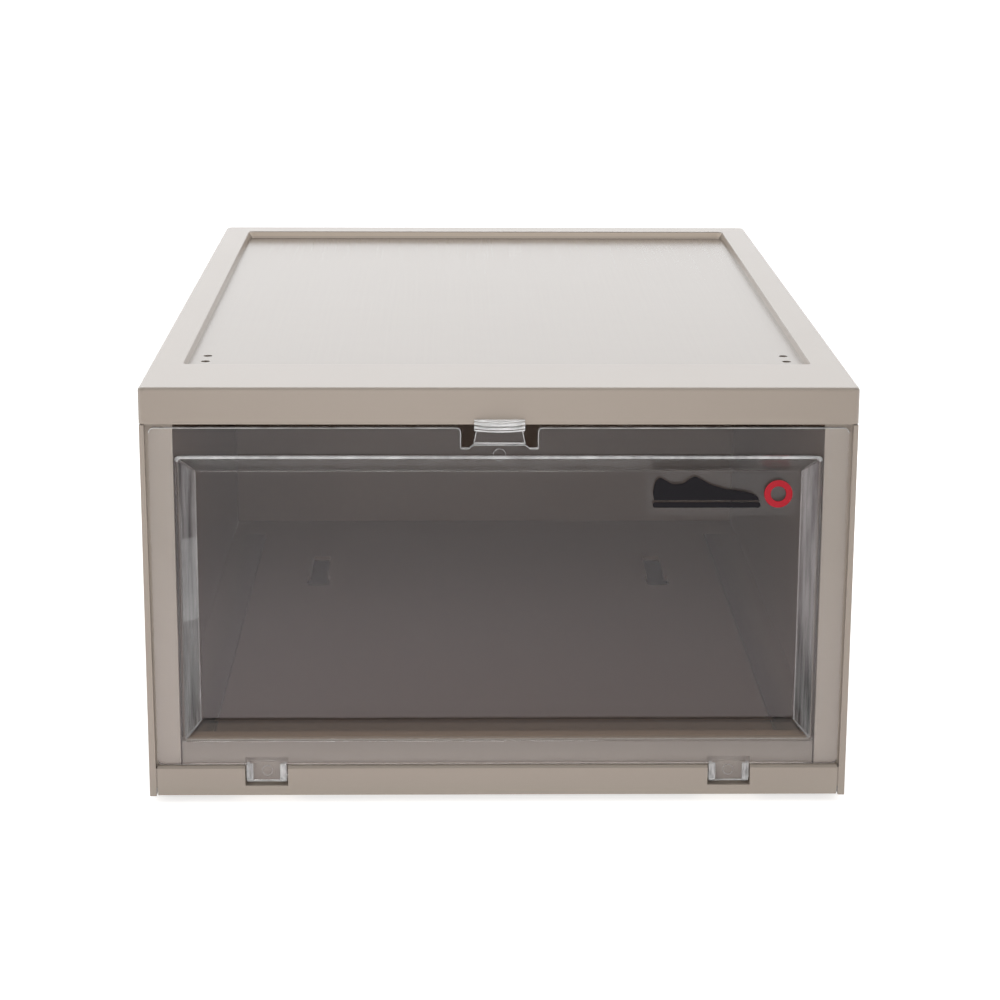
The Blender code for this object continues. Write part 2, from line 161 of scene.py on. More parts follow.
def bump(tree, shader, height, distance, under=None):
    """Roughens the shader's surface by a height, on top of another bump if one is given."""
    node = tree.nodes.new("ShaderNodeBump")
    node.inputs["Distance"].default_value = distance
    node.inputs["Strength"].default_value = 1.0
    tree.links.new(height, node.inputs["Height"])
    if under is not None:
        tree.links.new(under, node.inputs["Normal"])
    tree.links.new(node.outputs["Normal"], shader.inputs["Normal"])
    return node.outputs["Normal"]


def axis_parts(tree):
    """Object coordinates in metres, each on its own."""
    coordinates = tree.nodes.new("ShaderNodeTexCoord")
    separate = tree.nodes.new("ShaderNodeSeparateXYZ")
    tree.links.new(coordinates.outputs["Object"], separate.inputs["Vector"])
    return separate.outputs["X"], separate.outputs["Y"], separate.outputs["Z"]


# ---- materials ----

TAUPE = (0.309, 0.263, 0.221)
PLASTIC_IOR = 1.49

# How far the case's roughness wanders to either side
WEAR = 0.02

# The cover's recess floor: half its width, its two ends, how much painted shade darkens it, and how much
# smoother it is
FLOOR_HALF_WIDTH = 103.6 * MM
FLOOR_START = FRONT + 39.0 * MM
FLOOR_END = CASE_BACK - 13.4 * MM
FLOOR_PAINTED_SHADE = 0.15
FLOOR_ROUGHNESS = (0.17, 0.21)

# How much painted light brightens the recess's steps, and what the far one has on top
STEP_PAINTED_LIGHT = 0.25
FAR_STEP_PAINTED_LIGHT = 1.5

# Foot flanges inside: how high they reach, and the stretch over which their painted shade fades out
FLANGE_TOP = LIP_FOOT + 3.6 * MM
FLANGE_INNER = 98.5 * MM
FLANGE_OUTER = 111.0 * MM
FLANGE_PAINTED_SHADE = 0.7

# Rail behind the door's lower edge: its back, its two ends upward, and its painted shade tone low down and
# high up
RAIL_BACK = FRONT + 10.5 * MM
RAIL_BOTTOM = LIP_FOOT + 10.6 * MM
RAIL_TOP = LIP_FOOT + 19.0 * MM
RAIL_PAINTED_SHADE_TONES = (0.78, 0.56)


def shade(colour, factor):
    return tuple(channel * factor for channel in colour)


def foot_painted_shade(tree):
    """Painted shade on the foot flanges inside the case: a matt, darker stretch beside the deck."""
    x, _, z = axis_parts(tree)
    low_down = maths(tree, "LESS_THAN", z, FLANGE_TOP)
    across = maths(tree, "ABSOLUTE", x)
    depth = remap(tree, across, FLANGE_INNER, FLANGE_OUTER, FLANGE_PAINTED_SHADE, 0.0, smooth=True)
    return maths(tree, "SUBTRACT", 1.0, product(tree, low_down, depth))


def rail_painted_shade(tree):
    """Painted shade on the rail behind the door's lower edge: a darker stretch that clears towards the lip.
    """
    _, y, z = axis_parts(tree)
    tone = remap(tree, z, LIP_FOOT + 11.5 * MM, LIP_FOOT + 17.5 * MM, *RAIL_PAINTED_SHADE_TONES)
    near = maths(tree, "LESS_THAN", y, RAIL_BACK)
    share = product(tree, near, between(tree, z, RAIL_BOTTOM, RAIL_TOP))
    return maths(tree, "ADD", product(tree, share, maths(tree, "SUBTRACT", tone, 1.0)), 1.0)


def recess_floor(tree):
    """1 on the floor of the cover's recess, else 0."""
    x, y, z = axis_parts(tree)
    inside = product(tree, within(tree, x, FLOOR_HALF_WIDTH), between(tree, y, FLOOR_START, FLOOR_END))
    return product(tree, inside, between(tree, z, COVER_TOP - 4.0 * MM, COVER_TOP - 2.0 * MM))


def recess_floor_painted_shade(tree):
    """Painted shade on the recess's floor, a little darker than the rims."""
    return maths(tree, "SUBTRACT", 1.0, product(tree, recess_floor(tree), FLOOR_PAINTED_SHADE))


def recess_step_painted_light(tree):
    """Painted light on the steps down to the recess, standing in for the light they catch from its floor."""
    x, y, z = axis_parts(tree)
    height = between(tree, z, COVER_TOP - 2.9 * MM, COVER_TOP - 0.35 * MM)
    along = between(tree, y, FRONT + 30.0 * MM, CASE_BACK - 10.0 * MM)
    step = product(tree, height, within(tree, x, 105.0 * MM), along)
    far = maths(tree, "GREATER_THAN", y, CASE_BACK - 14.5 * MM)
    lift = maths(tree, "ADD", product(tree, far, FAR_STEP_PAINTED_LIGHT), STEP_PAINTED_LIGHT)
    return maths(tree, "ADD", product(tree, step, lift), 1.0)


def taupe_plastic(name, tone=1.0, roughness=0.34, painted_shading_masks=(), polished_floor=False):
    """Opaque moulded polypropylene: slight mottling, fine grain, a slow waviness and a satin sheen."""
    material, tree, shader, _ = new_material(name)
    space = object_space(tree)
    base = shade(TAUPE, tone)
    cloud = noise(tree, space, 14.0, 3.0)
    speck = noise(tree, space, 1400.0, 1.0)
    mottling = maths(tree, "ADD", product(tree, cloud, 0.75), product(tree, speck, 0.25))
    colour = colour_between(tree, mottling, shade(base, 0.955), shade(base, 1.045))
    # The masks multiply painted light and shade into the colour.
    for mask in painted_shading_masks:
        colour = dimmed(tree, colour, mask(tree))
    wear = remap(tree, noise(tree, space, 60.0, 3.0), 0.2, 0.8, roughness - WEAR, roughness + WEAR)
    if polished_floor:
        streak = noise(tree, object_space(tree, (1.0, 0.012, 1.0)), 900.0)
        wear = chosen(tree, recess_floor(tree), wear, remap(tree, streak, 0.3, 0.7, *FLOOR_ROUGHNESS))
    tree.links.new(colour, shader.inputs["Base Color"])
    tree.links.new(wear, shader.inputs["Roughness"])
    grain = bump(tree, shader, noise(tree, space, 2600.0), 0.008 * MM)
    bump(tree, shader, noise(tree, space, 30.0, 1.0), 0.14 * MM, under=grain)
    shader.inputs["IOR"].default_value = PLASTIC_IOR
    return material


def clear_plastic(name, lamp_tint=(0.95, 0.95, 0.95), tint=(0.955, 0.95, 0.948)):
    """Clear moulded plastic that bends what is seen through it and lets lamps reach what is behind."""
    material, tree, shader, output = new_material(name)
    shader.inputs["Base Color"].default_value = (*tint, 1.0)
    shader.inputs["Transmission Weight"].default_value = 1.0
    shader.inputs["IOR"].default_value = PLASTIC_IOR
    space = object_space(tree)
    film = noise(tree, space, 45.0, 4.0, 0.6)
    tree.links.new(remap(tree, film, 0.35, 0.75, 0.015, 0.05), shader.inputs["Roughness"])
    bump(tree, shader, noise(tree, space, 22.0, 1.0), 0.02 * MM)

    path = tree.nodes.new("ShaderNodeLightPath")
    lamps = maths(tree, "MAXIMUM", path.outputs["Is Shadow Ray"], path.outputs["Is Diffuse Ray"])
    through = tree.nodes.new("ShaderNodeBsdfTransparent")
    through.inputs["Color"].default_value = (*lamp_tint, 1.0)
    choose = tree.nodes.new("ShaderNodeMixShader")
    tree.links.new(lamps, choose.inputs["Fac"])
    tree.links.new(shader.outputs["BSDF"], choose.inputs[1])
    tree.links.new(through.outputs["BSDF"], choose.inputs[2])
    tree.links.new(choose.outputs["Shader"], output.inputs["Surface"])
    return material


def painted_light_plastic(name, clear_share, dark, light, scale, stretch=(1.0, 1.0, 1.0)):
    """The same clear plastic with a pale share: painted light where a rounded edge or a drawn slope gathers
    light and looks pale.
    """
    material, tree, shader, _ = new_material(name)
    shader.inputs["Transmission Weight"].default_value = clear_share
    shader.inputs["IOR"].default_value = PLASTIC_IOR
    share = noise(tree, object_space(tree, stretch), scale, 3.0, 0.6)
    share = remap(tree, share, 0.32, 0.68, 0.0, 1.0)
    tree.links.new(colour_between(tree, share, (dark,) * 3, (light,) * 3), shader.inputs["Base Color"])
    tree.links.new(remap(tree, share, 0.0, 1.0, 0.05, 0.16), shader.inputs["Roughness"])
    bump(tree, shader, share, 0.03 * MM)
    return material


def clear_film(name, alpha):
    """Thin clear film that shows only by its sheen."""
    material, tree, shader, _ = new_material(name)
    space = object_space(tree)
    share = noise(tree, space, 70.0, 4.0, 0.6)
    tree.links.new(colour_between(tree, share, (0.81,) * 3, (0.9,) * 3), shader.inputs["Base Color"])
    tree.links.new(remap(tree, share, 0.3, 0.7, 0.12, 0.3), shader.inputs["Roughness"])
    shader.inputs["Alpha"].default_value = alpha
    bump(tree, shader, noise(tree, space, 260.0), 0.02 * MM)
    return material


def print_ink(name, colour):
    """Matt printing ink, slightly uneven."""
    material, tree, shader, _ = new_material(name)
    space = object_space(tree)
    share = noise(tree, space, 900.0, 3.0)
    ink = colour_between(tree, share, shade(colour, 0.85), shade(colour, 1.15))
    tree.links.new(ink, shader.inputs["Base Color"])
    tree.links.new(remap(tree, share, 0.3, 0.7, 0.45, 0.6), shader.inputs["Roughness"])
    shader.inputs["Specular IOR Level"].default_value = 0.2
    bump(tree, shader, share, 0.01 * MM)
    return material


# ---- CAD nodes carried over ----

CASE_PANELS = ("base_panel", "left_side_panel", "right_side_panel", "back_panel", "top_cover")
MOULD_RADIUS = 0.3 * MM


def soften(name):
    """Small mould radii on a CAD node's edges."""
    obj = nodes[name]
    weld = obj.modifiers.new("weld", "WELD")
    weld.merge_threshold = 2e-6
    flat = obj.modifiers.new("flat", "DECIMATE")
    flat.decimate_type = "DISSOLVE"
    flat.angle_limit = math.radians(0.5)
    edge = obj.modifiers.new("mould_radius", "BEVEL")
    edge.width = MOULD_RADIUS
    edge.segments = 3
    edge.limit_method = "ANGLE"
    edge.angle_limit = math.radians(28)
    level = obj.modifiers.new("level", "WEIGHTED_NORMAL")
    level.mode = "FACE_AREA"
    level.weight = 100


def dress(name, material):
    data = nodes[name].data
    data.materials.clear()
    data.materials.append(material)


# ---- mesh helpers ----


def arc(u, v, radius, start, end, steps):
    """Points along an arc, with its angles in degrees."""
    angles = [math.radians(start + (end - start) * step / steps) for step in range(steps + 1)]
    return [(u + radius * math.cos(angle), v + radius * math.sin(angle)) for angle in angles]


def rounded(u_low, u_high, v_low, v_high, radius):
    """A rectangle's outline with round corners."""
    steps = 4
    return (
        arc(u_high - radius, v_low + radius, radius, -90, 0, steps)
        + arc(u_high - radius, v_high - radius, radius, 0, 90, steps)
        + arc(u_low + radius, v_high - radius, radius, 90, 180, steps)
        + arc(u_low + radius, v_low + radius, radius, 180, 270, steps)
    )


def on_axis(axis, along, u, v):
    """A point from its place along an axis and the two other coordinates, in millimetres."""
    return {"X": place(along, u, v), "Y": place(u, along, v), "Z": place(u, v, along)}[axis]


def band(mesh, low, high, slot=0):
    """Faces between two closed rings of points."""
    for here in range(len(low)):
        after = (here + 1) % len(low)
        face = mesh.faces.new((low[here], low[after], high[after], high[here]))
        face.material_index = slot


def loft(axis, sections):
    """Closed surface through (place along the axis, outline, material slot of the band up to the next)."""
    mesh = bmesh.new()
    rings = [[mesh.verts.new(on_axis(axis, along, u, v)) for u, v in outline]
             for along, outline, _ in sections]
    mesh.faces.new(rings[0])
    mesh.faces.new(rings[-1])
    for low, high, (_, _, slot) in zip(rings, rings[1:], sections):
        band(mesh, low, high, slot)
    bmesh.ops.recalc_face_normals(mesh, faces=mesh.faces)
    return mesh


def prism(axis, outline, low, high):
    return loft(axis, [(low, outline, 0), (high, outline, 0)])


def soft_prism(axis, outline_at, low, high, radius, slot):
    """A prism whose end edges are rounded: outline_at(inset) gives the outline that much further in."""
    steps = 3
    turns = [math.radians(90 * step / steps) for step in range(steps + 1)]
    ends = [(radius * (1 - math.sin(turn)), radius * (1 - math.cos(turn))) for turn in turns]
    sections = [(low + depth, outline_at(inset), slot) for inset, depth in ends]
    sections += [(high - depth, outline_at(inset), slot) for inset, depth in reversed(ends)]
    return loft(axis, sections)


def merged(meshes):
    """All the meshes in one, and the single ones freed."""
    joined = bmesh.new()
    for mesh in meshes:
        holder = bpy.data.meshes.new("holder")
        mesh.to_mesh(holder)
        mesh.free()
        joined.from_mesh(holder)
        bpy.data.meshes.remove(holder)
    return joined


def make_piece(name, mesh, materials, body):
    """A visual piece that rides on a body."""
    data = bpy.data.meshes.new(name)
    mesh.to_mesh(data)
    mesh.free()
    for material in materials:
        data.materials.append(material)
    piece = bpy.data.objects.new(name, data)
    bpy.context.scene.collection.objects.link(piece)
    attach(piece, body)
    return piece


def boolean(piece, operation, mesh, materials):
    """Joins or cuts the piece's mesh once and for all with a passing helper."""
    data = bpy.data.meshes.new("helper")
    mesh.to_mesh(data)
    mesh.free()
    for material in materials:
        data.materials.append(material)
    helper = bpy.data.objects.new("helper", data)
    bpy.context.scene.collection.objects.link(helper)
    modifier = piece.modifiers.new("shape", "BOOLEAN")
    modifier.operation = operation
    modifier.solver = "EXACT"
    modifier.use_self = True
    modifier.object = helper
    graph = bpy.context.evaluated_depsgraph_get()
    result = bpy.data.meshes.new_from_object(piece.evaluated_get(graph))
    piece.modifiers.clear()
    piece.data = result
    bpy.data.objects.remove(helper)


# ---- door ----

DOOR_HALF_WIDTH = 111.9
DOOR_BOTTOM = 10.9
DOOR_TOP = 124.5
DOOR_SHEET = 2.0
WINDOW_HALF_WIDTH = 102.5
WINDOW_BOTTOM = 19.9
WINDOW_TOP = 114.2
WINDOW_SET_BACK = 5.0

# Hinge tabs: the pins' axis, the tab's two sides, its mould mark, and its cheeks, nose and stub pins
HINGE_Y = 2.2
HINGE_Z = 6.5
TAB_INSIDE = 69.6
TAB_OUTSIDE = 82.8
TAB_MARK = 75.9
CHEEK = 2.2
NOSE_RADIUS = 2.1
PIN_RADIUS = 1.25
PIN_LENGTH = 2.9
TAB_EDGE = 0.25

# Latch: half its width at the root, the root's height, and the relief slots beside it
LATCH_HALF_WIDTH = 8.3
LATCH_ROOT = 119.1
SLOT_FLOOR = 117.7
SLOT_OUTSIDE = 12.3
SLOT_MOUTH = 1.5
SLOT_CORNER = 0.6
SLOT_CHAMFER = 0.28

# Finger grip: its ends, half its width, how far it stands proud of the door, and its ribs
GRIP_BOTTOM = 123.7
GRIP_TOP = 127.3
GRIP_HALF_WIDTH = 8.1
GRIP_PROUD = 3.35
GRIP_BOW = 2.3
GRIP_RIBS = 3
GRIP_RIB_DEPTH = 0.26

# Material slots of the door: BRIGHT, STREAKED, TOP_SLOPE, TAB and FINE carry painted light, FOOT_SLOPE
# painted shade
CLEAR, BRIGHT, STREAKED, PANE, TOP_SLOPE, TAB, FINE, FOOT_SLOPE = range(8)


def flange_section(inset, y, slot):
    radius = 1.8 - inset
    half = DOOR_HALF_WIDTH - inset
    return y, rounded(-half, half, DOOR_BOTTOM + inset, DOOR_TOP - inset, radius), slot


def window_section(inset, y, slot):
    radius = max(1.1 - 0.15 * inset, 0.3)
    half = WINDOW_HALF_WIDTH - inset
    return y, rounded(-half, half, WINDOW_BOTTOM + inset, WINDOW_TOP - inset, radius), slot


def hinge_tab(side):
    """Hinge tab from beside: two round-nosed cheeks, a web between them, and a stub pin at each end."""
    def cheek(inset):
        nose = arc(HINGE_Y, HINGE_Z, NOSE_RADIUS - inset, 180, 350, 8)
        top = DOOR_BOTTOM + 1.0
        return nose + [(DOOR_SHEET - 0.2 - inset, top), (0.2 + inset, top), (0.1 + inset, HINGE_Z + 0.4)]

    def across(low, width):
        return sorted((side * low, side * (low + width)))

    meshes = []
    # The cheeks take the pale BRIGHT slot: painted highlight.
    for low in (TAB_INSIDE, TAB_OUTSIDE - CHEEK):
        meshes.append(soft_prism("X", cheek, *across(low, CHEEK), TAB_EDGE, BRIGHT))
    web = rounded(0.5, HINGE_Y, HINGE_Z - 1.7, DOOR_BOTTOM + 1.0, 0.5)
    meshes.append(prism("X", web, *across(TAB_INSIDE + CHEEK / 2, TAB_OUTSIDE - TAB_INSIDE - CHEEK)))
    for low in (TAB_INSIDE - 1.8, TAB_OUTSIDE - CHEEK / 2):
        pin = arc(HINGE_Y, HINGE_Z, PIN_RADIUS, 0, 345, 23)
        meshes.append(prism("X", pin, *across(low, PIN_LENGTH)))
    return meshes


def latch_opening():
    """Relief slots beside the latch tab: round-cornered mouths, and floors that rise to the tab's foot."""
    def outline(grow):
        mouth = SLOT_MOUTH - grow
        outer = SLOT_OUTSIDE + grow
        floor = SLOT_FLOOR - grow
        right = [(LATCH_HALF_WIDTH - 0.1, LATCH_ROOT - 0.15 - grow), (LATCH_HALF_WIDTH + 1.5, floor)]
        right += arc(outer - SLOT_CORNER, floor + SLOT_CORNER, SLOT_CORNER, 270, 360, 3)
        right += arc(outer + mouth, DOOR_TOP - mouth - grow, mouth, 180, 90, 4)
        right += [(outer + mouth, DOOR_TOP + 2)]
        return right + [(-x, z) for x, z in reversed(right)]

    # The slots' cut faces take the pale BRIGHT slot: painted highlight.
    return loft("Y", [
        (-0.5, outline(SLOT_CHAMFER), BRIGHT),
        (0.0, outline(SLOT_CHAMFER), BRIGHT),
        (SLOT_CHAMFER, outline(0.0), BRIGHT),
        (DOOR_SHEET + 1, outline(0.0), BRIGHT),
    ])


def sort_door_faces(door):
    """Pale edges with painted highlights only along the top and on the tabs, streaked side slopes and a top
    slope with painted light, a foot slope with painted shade, and a pane of its own for the window.
    """
    for face in door.data.polygons:
        x, y, z = (face.center - place(0, 0, 0)) / MM
        normal = face.normal
        in_window = abs(x) < WINDOW_HALF_WIDTH and WINDOW_BOTTOM < z < WINDOW_TOP
        on_tab = z < WINDOW_BOTTOM and TAB_INSIDE - 0.5 < abs(x) < TAB_OUTSIDE + 0.5
        low_mitre = in_window and abs(normal.x) > 0.15 and normal.z > 0.15 and y < WINDOW_SET_BACK
        if on_tab and (face.material_index == BRIGHT or normal.z < -0.5):
            face.material_index = TAB if normal.y < -0.95 else BRIGHT
        elif face.material_index == BRIGHT:
            if z < WINDOW_TOP - 1.0:
                face.material_index = CLEAR
        elif low_mitre:
            face.material_index = FINE
        elif in_window and abs(normal.x) > 0.5:
            at_foot = y < WINDOW_SET_BACK and abs(x) < WINDOW_HALF_WIDTH - 4.65
            face.material_index = FINE if at_foot else STREAKED
        elif in_window and normal.z < -0.5 and z > WINDOW_TOP - 6:
            face.material_index = TOP_SLOPE
        elif in_window and abs(normal.z) > 0.5 and z < WINDOW_BOTTOM + 6:
            face.material_index = FOOT_SLOPE
        elif in_window and abs(x) < WINDOW_HALF_WIDTH - 1:
            face.material_index = PANE


def make_door(materials):
    """Clear door: flange with rounded edges, a fine bead round the window, sloping sides and a flat pane."""
    edge = [(0.25, 2.0), (0.07, 1.93), (0.0, 1.75), (0.0, 0.25), (0.07, 0.07), (0.25, 0.0)]
    bead = [(-0.6 - 0.5 * math.cos(angle), -0.42 * math.sin(angle))
            for angle in (math.radians(30 * step) for step in range(7))]
    window_back = [(5.2, 7.0), (4.3, 6.93), (3.7, 6.53), (-0.4, 2.43), (-0.85, 2.1), (-1.5, 2.0)]
    window_front = [(0.0, 0.05), (4.6, 4.6), (4.95, 4.88), (5.5, WINDOW_SET_BACK)]

    sections = [window_section(inset, y, CLEAR) for inset, y in window_back]
    # The flange's rounded edges and the bead take the pale BRIGHT slot: painted highlight, which
    # sort_door_faces keeps only along the top.
    sections += [flange_section(inset, y, BRIGHT) for inset, y in edge[:-1]]
    sections.append(flange_section(*edge[-1], CLEAR))
    sections += [window_section(inset, y, BRIGHT) for inset, y in bead[:-1]]
    sections.append(window_section(*bead[-1], CLEAR))
    sections += [window_section(inset, y, CLEAR) for inset, y in window_front]
    door = make_piece("clear_door", loft("Y", sections), materials, "door")
    boolean(door, "DIFFERENCE", latch_opening(), materials)
    boolean(door, "UNION", merged(hinge_tab(-1) + hinge_tab(1)), materials)
    sort_door_faces(door)
    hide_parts("door")


def ejector_ring(name, x, y, z, radius, material):
    """A fine raised ring, as an ejector pin leaves on a moulding."""
    mesh = bmesh.new()
    around = 32
    across = 6
    rings = []
    for turn in range(around):
        angle = 2 * math.pi * turn / around
        ring = []
        for step in range(across):
            tilt = 2 * math.pi * step / across
            reach = radius + 0.09 * math.cos(tilt)
            depth = y - 0.2 + 0.26 * math.sin(tilt)
            height = z + reach * math.sin(angle)
            ring.append(mesh.verts.new(place(x + reach * math.cos(angle), depth, height)))
        rings.append(ring)
    for here in range(around):
        band(mesh, rings[here], rings[(here + 1) % around])
    bmesh.ops.recalc_face_normals(mesh, faces=mesh.faces)
    make_piece(name, mesh, [material], "door")


def grip_outline(proud, back):
    """The grip from above: bowed in front, flat behind."""
    radius = (GRIP_HALF_WIDTH ** 2 + GRIP_BOW ** 2) / (2 * GRIP_BOW)
    reach = math.degrees(math.asin(GRIP_HALF_WIDTH / radius))
    front = arc(0, radius - proud, radius, 270 - reach, 270 + reach, 16)
    return front + [(GRIP_HALF_WIDTH, back), (-GRIP_HALF_WIDTH, back)]


def ribbed_grip(low, high, back):
    """A stretch of the grip, with ribs across it and ends that draw back."""
    sections = []
    steps = 18
    for step in range(steps + 1):
        z = low + (high - low) * step / steps
        from_bottom = (z - GRIP_BOTTOM) / (GRIP_TOP - GRIP_BOTTOM)
        rib = GRIP_RIB_DEPTH * math.cos(2 * math.pi * GRIP_RIBS * from_bottom)
        ends = 0.35 * (max(0.0, 0.12 - from_bottom) + max(0.0, from_bottom - 0.9)) / 0.12
        outline = grip_outline(GRIP_PROUD + rib - ends, back)
        # The ribs' crests take the pale BRIGHT slot, a painted highlight; the troughs stay clear.
        sections.append((z, outline, BRIGHT if rib > -0.1 else CLEAR))
    return loft("Z", sections)


def make_latch(materials):
    """Latch tab: a plate between the relief slots, with a ribbed finger grip bowed out at its top."""
    def plate(inset):
        foot = LATCH_ROOT + 0.15 + inset
        right = [(LATCH_HALF_WIDTH - inset, foot), (7.3 - inset, 124.3)]
        return right + [(-x, z) for x, z in reversed(right)]

    # The plate takes the pale BRIGHT slot: painted highlight.
    body = soft_prism("Y", plate, 0.1, 1.9, TAB_EDGE, BRIGHT)
    latch = make_piece("latch_grip", body, materials, "latch_tab")
    boolean(latch, "UNION", ribbed_grip(GRIP_BOTTOM, 125.0, 1.8), materials)
    boolean(latch, "UNION", ribbed_grip(124.7, GRIP_TOP, -0.45), materials)
    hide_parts("latch_tab")


# ---- label and tape ----

# The print is a thin raised layer; the ring stands beside the shoe's outline
PRINT_BELOW = 0.03
PRINT_ABOVE = 0.05
RING_X = 90.3
RING_Z = 101.6
RING_OUTER = 4.6
RING_INNER = 2.5


def between_points(before, start, end, after, t):
    """Catmull-Rom blend from start to end, as t runs from 0 to 1."""
    straight = 2 * start + (end - before) * t
    square = (2 * before - 5 * start + 4 * end - after) * t * t
    return 0.5 * (straight + square + (3 * start - before - 3 * end + after) * t ** 3)


def through_points(points):
    """A smooth open curve through points."""
    steps = 4
    padded = [points[0]] + points + [points[-1]]
    curve = []
    for four in zip(padded, padded[1:], padded[2:], padded[3:]):
        for step in range(steps):
            curve.append(tuple(between_points(*values, step / steps) for values in zip(*four)))
    return curve + [points[-1]]


def ring_print(y_low, y_high):
    """A flat ring between two depths."""
    mesh = bmesh.new()
    outer = arc(RING_X, RING_Z, RING_OUTER, 0, 350, 35)
    inner = arc(RING_X, RING_Z, RING_INNER, 0, 350, 35)
    loops = [[mesh.verts.new(place(x, y, z)) for x, z in circle] for y in (y_low, y_high)
             for circle in (outer, inner)]
    for first, second in ((0, 1), (1, 3), (3, 2), (2, 0)):
        band(mesh, loops[first], loops[second])
    bmesh.ops.recalc_face_normals(mesh, faces=mesh.faces)
    return mesh


def make_label(film, charcoal, red):
    """Generic printed pictogram on a clear film: a low shoe seen from the side, and a ring."""
    face = (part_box("door_label")[0].y - FRONT) / MM
    printed = (face - PRINT_BELOW, face + PRINT_ABOVE)
    film_mesh = prism("Y", rounded(47.5, 96.0, 94.5, 108.5, 1.5), 4.72, 4.82)
    sheet = make_piece("label_clear_film", film_mesh, [film], "door")
    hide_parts("door_label")
    upper = through_points([
        (50.1, 99.5), (49.8, 102.4), (50.5, 105.6), (52.0, 106.9), (53.8, 106.0), (56.1, 104.9),
        (59.1, 105.0), (61.5, 106.5), (63.2, 107.3), (65.3, 106.4), (68.7, 104.6), (73.0, 103.3),
        (77.8, 102.6), (81.6, 101.7), (83.7, 100.4), (84.1, 99.5),
    ])
    sole = rounded(49.7, 84.6, 97.0, 98.8, 0.8)
    make_piece("label_print_upper", prism("Y", upper, *printed), [charcoal], "door")
    make_piece("label_print_sole", prism("Y", sole, *printed), [charcoal], "door")
    make_piece("label_print_ring", ring_print(*printed), [red], "door")


def make_tape(film):
    """A short strip of clear tape on the window's left slope."""
    mesh = bmesh.new()
    corners = [(0.25, 60.0), (0.25, 87.5), (4.75, 87.5), (4.75, 60.0)]

    def sheet(lift):
        left = lift - WINDOW_HALF_WIDTH
        return [mesh.verts.new(place(left + depth, depth - lift, z)) for depth, z in corners]

    front = sheet(0.096)
    back = sheet(0.036)
    mesh.faces.new(front)
    mesh.faces.new(back)
    band(mesh, front, back)
    bmesh.ops.recalc_face_normals(mesh, faces=mesh.faces)
    make_piece("clear_tape", mesh, [film], "door")


# ---- seams ----


def make_seams(material):
    """Snap ribs that close the joints between the panels, as seen from inside."""
    def bar(x_low, x_high, y_low, y_high, z_low, z_high):
        outline = [(x_low, y_low), (x_high, y_low), (x_high, y_high), (x_low, y_high)]
        return prism("Z", outline, z_low, z_high)

    # Each rib's inner and outer side, front, back, bottom and top: beside the back panel, under the
    # cover's skirt in front, under its sides, and at the lip's ends
    on_both_sides = (
        (111.6, 113.4, 342.3, 345.4, 2.9, 125.0),
        (104.6, 114.2, 2.9, 4.8, 124.8, 126.2),
        (113.3, 114.4, 2.0, 345.4, 125.0, 126.0),
        (111.9, 112.8, 0.2, 2.0, 2.9, 9.6),
    )
    ribs = []
    for side in (-1, 1):
        for inner, outer, *rest in on_both_sides:
            ribs.append(bar(*sorted((side * inner, side * outer)), *rest))
    ribs.append(bar(-111.9, 111.9, 342.3, 345.2, 2.9, 4.2))
    ribs.append(bar(-111.9, 111.9, 343.6, 345.2, 124.8, 126.2))
    make_piece("snap_ribs", merged(ribs), [material], "case")


# ---- stage ----

# Brightness of the white surroundings, and what the backdrop, the sides and the top add to it
SURROUNDINGS = 0.28
BACKDROP = 2.15
SIDE_WALLS = 0.5
OVERHEAD = 0.8

FLOOR_REACH = 9.0
FLOOR_GLOW = 0.63

# Half the width and the depth of the painted shadow under the box
SHADE_X = 0.1
SHADE_Y = 0.145

# The flag starts this far in front of the case and lies just above the floor
FLAG_GAP = 0.02
FLAG_HEIGHT = 0.0005
FLAG_LENGTH = 6.0
FLAG_REACH = 3.0
FLAG_TINT = (1.0, 0.84, 0.86)

# Brightness of its far and its near part
FLAG_FAR = 0.63
FLAG_NEAR = 1.6


def flat_sheet(name, x_reach, y_low, y_high, z, material):
    """A level rectangle, in metres."""
    corners = [(-x_reach, y_low, z), (x_reach, y_low, z), (x_reach, y_high, z), (-x_reach, y_high, z)]
    mesh = bpy.data.meshes.new(name)
    mesh.from_pydata(corners, [], [(0, 1, 2, 3)])
    mesh.materials.append(material)
    sheet = bpy.data.objects.new(name, mesh)
    bpy.context.scene.collection.objects.link(sheet)
    return sheet


def make_floor():
    """White floor with a glow of its own, and a painted shadow under the box, where it is dark and does not
    glow.
    """
    material, tree, shader, _ = new_material("floor_white")
    shader.inputs["Roughness"].default_value = 0.9
    shader.inputs["Specular IOR Level"].default_value = 0.0
    shader.inputs["Emission Color"].default_value = (1.0, 1.0, 1.0, 1.0)
    x, y, _ = axis_parts(tree)
    beside = maths(tree, "GREATER_THAN", maths(tree, "ABSOLUTE", x), SHADE_X)
    beyond = maths(tree, "GREATER_THAN", maths(tree, "ABSOLUTE", y), SHADE_Y)
    outside = maths(tree, "MAXIMUM", beside, beyond)
    tree.links.new(product(tree, outside, FLOOR_GLOW), shader.inputs["Emission Strength"])
    tree.links.new(colour_between(tree, outside, (0.02,) * 3, (0.8,) * 3), shader.inputs["Base Color"])
    return flat_sheet("floor", FLOOR_REACH, -FLOOR_REACH, FLOOR_REACH, 0, material)


